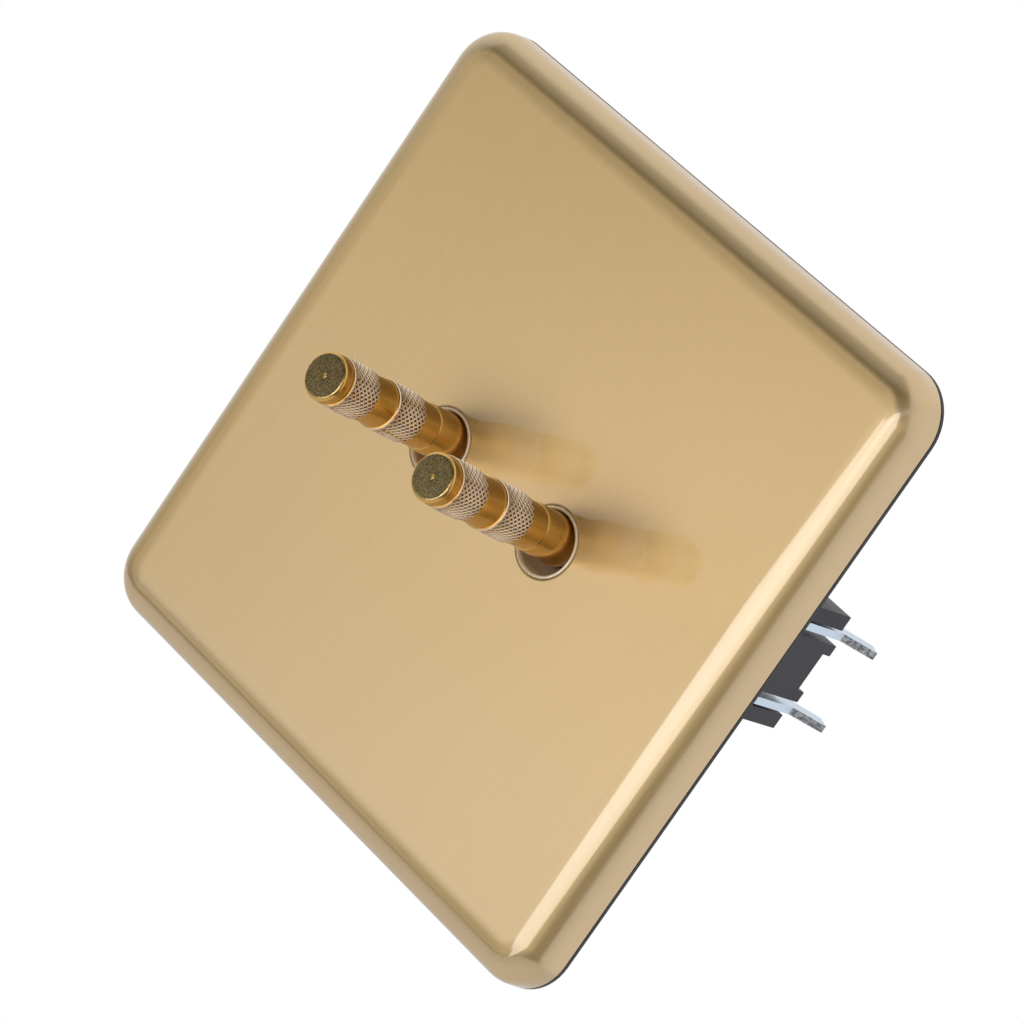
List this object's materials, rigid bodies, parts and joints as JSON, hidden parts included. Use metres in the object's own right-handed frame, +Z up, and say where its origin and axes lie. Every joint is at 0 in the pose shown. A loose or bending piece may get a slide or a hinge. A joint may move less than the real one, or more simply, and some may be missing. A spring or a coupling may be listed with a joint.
{
  "type": "toggle wall switch",
  "caption": "Square satin brass wall switch plate with knurled toggle levers, a black mechanism housing and spreading claws behind it.",
  "frame": {"origin": "centre of the plate on the wall plane, which is the rear face of the yoke", "axes": "-Y out of the wall along the levers, +Z up, +X to the right seen from the front"},
  "size_m": [0.086, 0.0725, 0.086],
  "materials": {
    "satin_brass": "vertical brushed satin under clear lacquer",
    "turned_brass": "turned and knurled, bright",
    "black_plastic": "fine matt moulding",
    "zinc_steel": "bright zinc plating, slightly blue",
    "screw_steel": "zinc-plated screw",
    "white_nylon": "natural nylon",
    "contact_copper": "plain copper alloy strip",
    "contact_silver": "silver alloy",
    "terminal_brass": "plain brass"
  },
  "bodies": {
    "root": {"cover_plate": "satin_brass", "inner_frame": "black_plastic", "frame_screws": "screw_steel", "yoke": "zinc_steel", "housing_cover": "black_plastic", "rear_housing": "black_plastic", "housing_screws": "screw_steel", "bushing_left": "turned_brass", "pivot_pin_left": "screw_steel", "fixed_contacts_left": "contact_silver", "common_terminal_left": "terminal_brass", "traveller_terminals_left": "terminal_brass", "wire_clamps_left": "terminal_brass", "clamp_screws_left": "screw_steel", "bushing_right": "turned_brass", "pivot_pin_right": "screw_steel", "fixed_contacts_right": "contact_silver", "common_terminal_right": "terminal_brass", "traveller_terminals_right": "terminal_brass", "wire_clamps_right": "terminal_brass", "clamp_screws_right": "screw_steel"},
    "toggle_left": {"lever_left": "turned_brass", "lever_stud_left": "screw_steel", "rocker_left": "white_nylon", "plunger_spring_left": "screw_steel"},
    "plunger_left": {"plunger_left": "terminal_brass"},
    "contact_rocker_left": {"contact_rocker_left": "contact_copper", "moving_contacts_left": "contact_silver"},
    "claw_screw_left": {"claw_screw_left": "screw_steel"},
    "claw_nut_left": {"claw_nut_left": "screw_steel"},
    "claw_left": {"claw_left": "zinc_steel"},
    "toggle_right": {"lever_right": "turned_brass", "lever_stud_right": "screw_steel", "rocker_right": "white_nylon", "plunger_spring_right": "screw_steel"},
    "plunger_right": {"plunger_right": "terminal_brass"},
    "contact_rocker_right": {"contact_rocker_right": "contact_copper", "moving_contacts_right": "contact_silver"},
    "claw_screw_right": {"claw_screw_right": "screw_steel"},
    "claw_nut_right": {"claw_nut_right": "screw_steel"},
    "claw_right": {"claw_right": "zinc_steel"}
  },
  "joints": [
    {"name": "toggle_left", "type": "hinge", "parent": "root", "child": "toggle_left", "pos_m": [-0.0105, 0.003, 0], "axis": [1, 0, 0], "range_deg": [0, 10.2]},
    {"name": "plunger_left", "type": "slide", "parent": "toggle_left", "child": "plunger_left", "axis": [0, -0.996, 0.0889], "range_m": [0, 0.0008], "stiffness_N_per_m": 600, "springref_m": -0.0015, "deforming": ["plunger_spring_left"]},
    {"name": "contact_rocker_left", "type": "hinge", "parent": "root", "child": "contact_rocker_left", "pos_m": [-0.0105, 0.0178, 0], "axis": [1, 0, 0], "range_deg": [-12, 0]},
    {"name": "claw_screw_left", "type": "hinge", "parent": "root", "child": "claw_screw_left", "pos_m": [-0.0227, 0, 0], "axis": [0, 1, 0], "range_deg": [0, 4320]},
    {"name": "claw_draw_left", "type": "slide", "parent": "root", "child": "claw_nut_left", "axis": [0, -1, 0], "range_m": [0, 0.006]},
    {"name": "claw_spread_left", "type": "hinge", "parent": "claw_nut_left", "child": "claw_left", "pos_m": [-0.021, 0.0146, 0], "axis": [0, 0, 1], "range_deg": [0, 16]},
    {"name": "toggle_right", "type": "hinge", "parent": "root", "child": "toggle_right", "pos_m": [0.0105, 0.003, 0], "axis": [1, 0, 0], "range_deg": [0, 10.2]},
    {"name": "plunger_right", "type": "slide", "parent": "toggle_right", "child": "plunger_right", "axis": [0, -0.996, 0.0889], "range_m": [0, 0.0008], "stiffness_N_per_m": 600, "springref_m": -0.0015, "deforming": ["plunger_spring_right"]},
    {"name": "contact_rocker_right", "type": "hinge", "parent": "root", "child": "contact_rocker_right", "pos_m": [0.0105, 0.0178, 0], "axis": [1, 0, 0], "range_deg": [-12, 0]},
    {"name": "claw_screw_right", "type": "hinge", "parent": "root", "child": "claw_screw_right", "pos_m": [0.0227, 0, 0], "axis": [0, 1, 0], "range_deg": [0, 4320]},
    {"name": "claw_draw_right", "type": "slide", "parent": "root", "child": "claw_nut_right", "axis": [0, -1, 0], "range_m": [0, 0.006]},
    {"name": "claw_spread_right", "type": "hinge", "parent": "claw_nut_right", "child": "claw_right", "pos_m": [0.021, 0.0146, 0], "axis": [0, 0, -1], "range_deg": [0, 16]}
  ],
  "couplings": [
    {"joint": "contact_rocker_left", "follows": "toggle_left", "ratio": -1.1764},
    {"joint": "claw_screw_left", "follows": "claw_draw_left", "rad_per_m": 12566},
    {"joint": "claw_spread_left", "follows": "claw_draw_left", "rad_per_m": 46.5},
    {"joint": "contact_rocker_right", "follows": "toggle_right", "ratio": -1.1764},
    {"joint": "claw_screw_right", "follows": "claw_draw_right", "rad_per_m": 12566},
    {"joint": "claw_spread_right", "follows": "claw_draw_right", "rad_per_m": 46.5}
  ]
}
